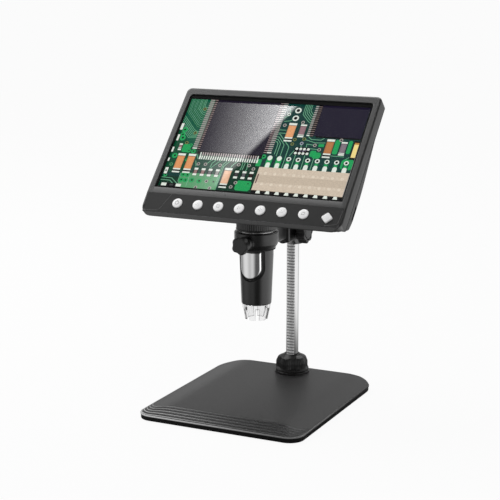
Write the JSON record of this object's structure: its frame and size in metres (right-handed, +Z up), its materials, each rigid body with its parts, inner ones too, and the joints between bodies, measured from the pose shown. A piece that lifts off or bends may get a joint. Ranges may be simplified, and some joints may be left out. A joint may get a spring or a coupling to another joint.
{
  "type": "lcd digital microscope",
  "caption": "Free-standing digital microscope: tilted display unit with front buttons on a vertical camera tube, held by a ring that slides on a toothed post over a flat base.",
  "frame": {"origin": "on the table, under the middle of the base plate", "axes": "+Z up, -Y towards the user, the way the display faces, +X to the user's right"},
  "size_m": [0.1646, 0.156, 0.2388],
  "materials": {
    "base_plastic": "satin moulded plastic, charcoal",
    "housing_plastic": "fine textured moulded plastic, charcoal",
    "key_plastic": "smooth moulded plastic, dark charcoal",
    "tube_plastic": "satin black moulded plastic",
    "black_metal": "satin black paint on cast alloy",
    "knob_plastic": "hard black plastic with a fine grain",
    "chrome": "bright chrome plate",
    "steel": "plain steel",
    "ballast_steel": "plain iron plate",
    "rubber": "soft matte rubber",
    "nylon": "natural nylon",
    "window": "clear polished glass",
    "display": "display panel with a lit picture",
    "circuit_board": "green solder mask with small parts",
    "battery": "wrapped flat cell",
    "button_white": "white moulded plastic",
    "clear_plastic": "clear moulded plastic",
    "lens_glass": "coated lens glass",
    "lamp": "lamp domes",
    "ribbon": "flat ribbon conductor"
  },
  "bodies": {
    "base": {"base_plate": "base_plastic", "base_weight": "ballast_steel", "base_bottom": "base_plastic", "base_feet": "rubber", "base_screws": "steel", "post_socket": "black_metal", "socket_nut": "steel", "lock_collet": "nylon"},
    "lock_nut": {"post_lock_nut": "tube_plastic"},
    "post": {"post": "chrome", "post_cap": "knob_plastic"},
    "carriage": {"lift_carriage": "black_metal", "carriage_bush": "nylon", "arm_screws": "steel", "drag_screw": "steel", "holder_ring": "black_metal"},
    "height_drive": {"pinion": "steel", "pinion_clip": "steel", "height_knob": "knob_plastic"},
    "thumbscrew": {"thumb_screw": "steel", "thumb_knob": "knob_plastic"},
    "ring_liner": {"holder_liner": "rubber"},
    "head": {"front_bezel": "housing_plastic", "key_panel": "key_plastic", "rear_cover": "housing_plastic", "housing_screws": "steel", "window_glass": "window", "display_panel": "display", "main_board": "circuit_board", "board_screws": "steel", "key_board": "circuit_board", "key_switches": "steel", "key_board_screws": "steel", "card_socket": "steel", "charge_port": "steel", "battery_pack": "battery", "tube_body": "tube_plastic", "tube_screws": "steel", "wheel_clip": "steel", "chrome_insert": "chrome", "camera_ribbon": "ribbon", "sensor_board": "circuit_board", "led_board": "circuit_board", "leds": "lamp"},
    "focus_wheel": {"focus_wheel": "tube_plastic"},
    "lens_group": {"lens_holder": "knob_plastic", "lenses": "lens_glass"},
    "clear_cap": {"clear_cap": "clear_plastic"},
    "button_1": {"button_1": "button_white"},
    "button_2": {"button_2": "button_white"},
    "button_3": {"button_3": "button_white"},
    "button_4": {"button_4": "button_white"},
    "button_5": {"button_5": "button_white"},
    "button_6": {"button_6": "button_white"},
    "button_7": {"button_7": "button_white"},
    "button_8": {"button_8": "button_white"}
  },
  "joints": [
    {"name": "lock_nut_turn", "type": "hinge", "parent": "base", "child": "lock_nut", "pos_m": [0, 0.0627, 0.018], "axis": [0, 0, 1], "range_deg": [0, 120]},
    {"name": "post_swivel", "type": "hinge", "parent": "base", "child": "post", "pos_m": [0, 0.0627, 0.018], "axis": [0, 0, 1], "range_deg": [-45, 45]},
    {"name": "height_slide", "type": "slide", "parent": "post", "child": "carriage", "axis": [0, 0, 1], "range_m": [-0.055, 0.05]},
    {"name": "height_knob_turn", "type": "hinge", "parent": "carriage", "child": "height_drive", "pos_m": [0, 0.05347, 0.1285], "axis": [1, 0, 0], "range_deg": [-640, 705]},
    {"name": "thumbscrew_turn", "type": "hinge", "parent": "carriage", "child": "thumbscrew", "pos_m": [0, -0.03, 0.13175], "axis": [0, -1, 0], "range_deg": [0, 360]},
    {"name": "head_swivel", "type": "hinge", "parent": "carriage", "child": "ring_liner", "pos_m": [0, -0.0057, 0.13175], "axis": [0, 0, 1], "range_deg": [-12, 12]},
    {"name": "head_lift", "type": "slide", "parent": "ring_liner", "child": "head", "axis": [0, 0, 1], "range_m": [0, 0.072]},
    {"name": "focus_wheel_turn", "type": "hinge", "parent": "head", "child": "focus_wheel", "pos_m": [0, -0.0057, 0.144], "axis": [0, 0, 1], "range_deg": [-120, 120]},
    {"name": "lens_slide", "type": "slide", "parent": "head", "child": "lens_group", "axis": [0, 0, 1], "range_m": [-0.002, 0.002]},
    {"name": "clear_cap_slide", "type": "slide", "parent": "head", "child": "clear_cap", "axis": [0, 0, -1], "range_m": [0, 0.02]},
    {"name": "button_1_press", "type": "slide", "parent": "head", "child": "button_1", "axis": [0, 0.7302, -0.6833], "range_m": [0, 0.0005], "stiffness_N_per_m": 400},
    {"name": "button_2_press", "type": "slide", "parent": "head", "child": "button_2", "axis": [0, 0.7302, -0.6833], "range_m": [0, 0.0005], "stiffness_N_per_m": 400},
    {"name": "button_3_press", "type": "slide", "parent": "head", "child": "button_3", "axis": [0, 0.7302, -0.6833], "range_m": [0, 0.0005], "stiffness_N_per_m": 400},
    {"name": "button_4_press", "type": "slide", "parent": "head", "child": "button_4", "axis": [0, 0.7302, -0.6833], "range_m": [0, 0.0005], "stiffness_N_per_m": 400},
    {"name": "button_5_press", "type": "slide", "parent": "head", "child": "button_5", "axis": [0, 0.7302, -0.6833], "range_m": [0, 0.0005], "stiffness_N_per_m": 400},
    {"name": "button_6_press", "type": "slide", "parent": "head", "child": "button_6", "axis": [0, 0.7302, -0.6833], "range_m": [0, 0.0005], "stiffness_N_per_m": 400},
    {"name": "button_7_press", "type": "slide", "parent": "head", "child": "button_7", "axis": [0, 0.7302, -0.6833], "range_m": [0, 0.0005], "stiffness_N_per_m": 400},
    {"name": "button_8_press", "type": "slide", "parent": "head", "child": "button_8", "axis": [0, 0.7302, -0.6833], "range_m": [0, 0.0005], "stiffness_N_per_m": 400}
  ],
  "couplings": [
    {"joint": "height_knob_turn", "follows": "height_slide", "rad_per_m": -218.17},
    {"joint": "lens_slide", "follows": "focus_wheel_turn", "m_per_rad": 0.00095}
  ]
}
